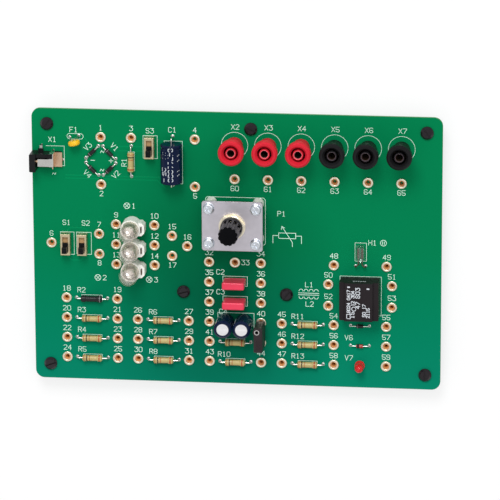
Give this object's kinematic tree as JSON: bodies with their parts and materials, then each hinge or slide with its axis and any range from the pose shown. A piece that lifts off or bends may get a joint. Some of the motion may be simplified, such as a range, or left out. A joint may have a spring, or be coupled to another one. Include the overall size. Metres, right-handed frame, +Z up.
{
  "type": "electronics experiment board",
  "caption": "Classroom board of circuit parts on feet, with numbered 2 mm test sockets, 4 mm safety sockets, switches, bulbs, a dial potentiometer and a transformer.",
  "frame": {"origin": "centre of the bounding box's underside, on the plane that the feet stand on", "axes": "+X along the board's long side, away from the power jack; +Y across it towards the safety sockets; +Z up out of the component side"},
  "size_m": [0.2336, 0.16, 0.047],
  "materials": {
    "green_laminate": "satin solder mask",
    "black_rubber": "matte",
    "black_nylon": "satin",
    "tinned_brass": "tinned rim, bare brass bore",
    "brass": "polished",
    "red_plastic": "satin",
    "black_plastic": "satin",
    "bronze": "satin",
    "nickel_silver": "satin",
    "amber_resin": "glossy",
    "tinned_wire": "bright",
    "black_epoxy": "matte",
    "red_glass": "clear",
    "tan_lacquer": "satin lacquer",
    "black_lacquer": "satin lacquer",
    "navy_sleeve": "shrunk film",
    "aluminium": "bright",
    "red_resin": "glossy",
    "satin_aluminium": "satin",
    "white_nylon": "satin",
    "nickel_steel": "nickel plated",
    "brown_laminate": "matte",
    "black_gloss_plastic": "glossy",
    "clear_glass": "clear",
    "ferrite": "matte",
    "copper_wire": "enamelled",
    "red_lens": "translucent",
    "tan_phenolic": "matte",
    "tungsten": "dull"
  },
  "bodies": {
    "root": {"axial_capacitor": "navy_sleeve", "black_diodes": "black_epoxy", "black_resistor": "black_lacquer", "black_socket_bodies": "black_plastic", "board_feet": "black_rubber", "can_capacitor_sleeves": "navy_sleeve", "can_capacitors": "aluminium", "capacitor_wires": "tinned_wire", "circuit_board": "green_laminate", "component_pins": "tinned_wire", "diode_wires": "tinned_wire", "film_capacitors": "red_resin", "foot_screws": "black_nylon", "fuse_disc": "amber_resin", "fuse_wires": "tinned_wire", "glass_diode": "red_glass", "jack_centre_pin": "bronze", "jack_housing": "black_plastic", "jack_leaf_contact": "nickel_silver", "lamp_contacts": "nickel_silver", "lamp_holders": "white_nylon", "led_lens": "red_lens", "neon_electrodes": "nickel_steel", "neon_glass": "clear_glass", "pot_bushing": "brass", "pot_can": "nickel_steel", "pot_nut": "brass", "pot_pillars": "white_nylon", "pot_plate": "satin_aluminium", "pot_screws": "nickel_steel", "pot_terminals": "tinned_wire", "pot_track": "brown_laminate", "red_socket_bodies": "red_plastic", "resistor_bodies": "tan_lacquer", "resistor_wires": "tinned_wire", "safety_contacts": "brass", "switch_bases": "tan_phenolic", "switch_frames": "nickel_steel", "test_sockets": "tinned_brass", "transformer_case": "black_epoxy", "transformer_core": "ferrite", "transformer_windings": "copper_wire"},
    "pot_rotor": {"pot_shaft": "nickel_steel", "pot_wiper": "bronze", "pot_knob": "black_gloss_plastic"},
    "bridging_plug": {"plug_body": "black_plastic", "plug_pins": "tinned_brass"},
    "switch_1": {"switch_slider_1": "black_plastic"},
    "bulb_1": {"bulb_1_cap": "nickel_steel", "bulb_1_glass": "clear_glass", "bulb_1_filament": "tungsten"},
    "switch_2": {"switch_slider_2": "black_plastic"},
    "bulb_2": {"bulb_2_cap": "nickel_steel", "bulb_2_glass": "clear_glass", "bulb_2_filament": "tungsten"},
    "switch_3": {"switch_slider_3": "black_plastic"},
    "bulb_3": {"bulb_3_cap": "nickel_steel", "bulb_3_glass": "clear_glass", "bulb_3_filament": "tungsten"}
  },
  "joints": [
    {"name": "switch_1_slide", "type": "slide", "parent": "root", "child": "switch_1", "axis": [0, 1, 0], "range_m": [0, 0.0046]},
    {"name": "switch_2_slide", "type": "slide", "parent": "root", "child": "switch_2", "axis": [0, 1, 0], "range_m": [0, 0.0046]},
    {"name": "switch_3_slide", "type": "slide", "parent": "root", "child": "switch_3", "axis": [0, 1, 0], "range_m": [0, 0.0046]},
    {"name": "pot_turn", "type": "hinge", "parent": "root", "child": "pot_rotor", "pos_m": [-0.0007, 0.0174, 0.0256], "axis": [0, 0, 1], "range_deg": [-140, 140]},
    {"name": "bulb_1_lift", "type": "slide", "parent": "root", "child": "bulb_1", "axis": [0, 0, 1], "range_m": [0, 0.012]},
    {"name": "bulb_2_lift", "type": "slide", "parent": "root", "child": "bulb_2", "axis": [0, 0, 1], "range_m": [0, 0.012]},
    {"name": "bulb_3_lift", "type": "slide", "parent": "root", "child": "bulb_3", "axis": [0, 0, 1], "range_m": [0, 0.012]},
    {"name": "plug_pull", "type": "slide", "parent": "root", "child": "bridging_plug", "axis": [0, 0, 1], "range_m": [0, 0.012]}
  ]
}
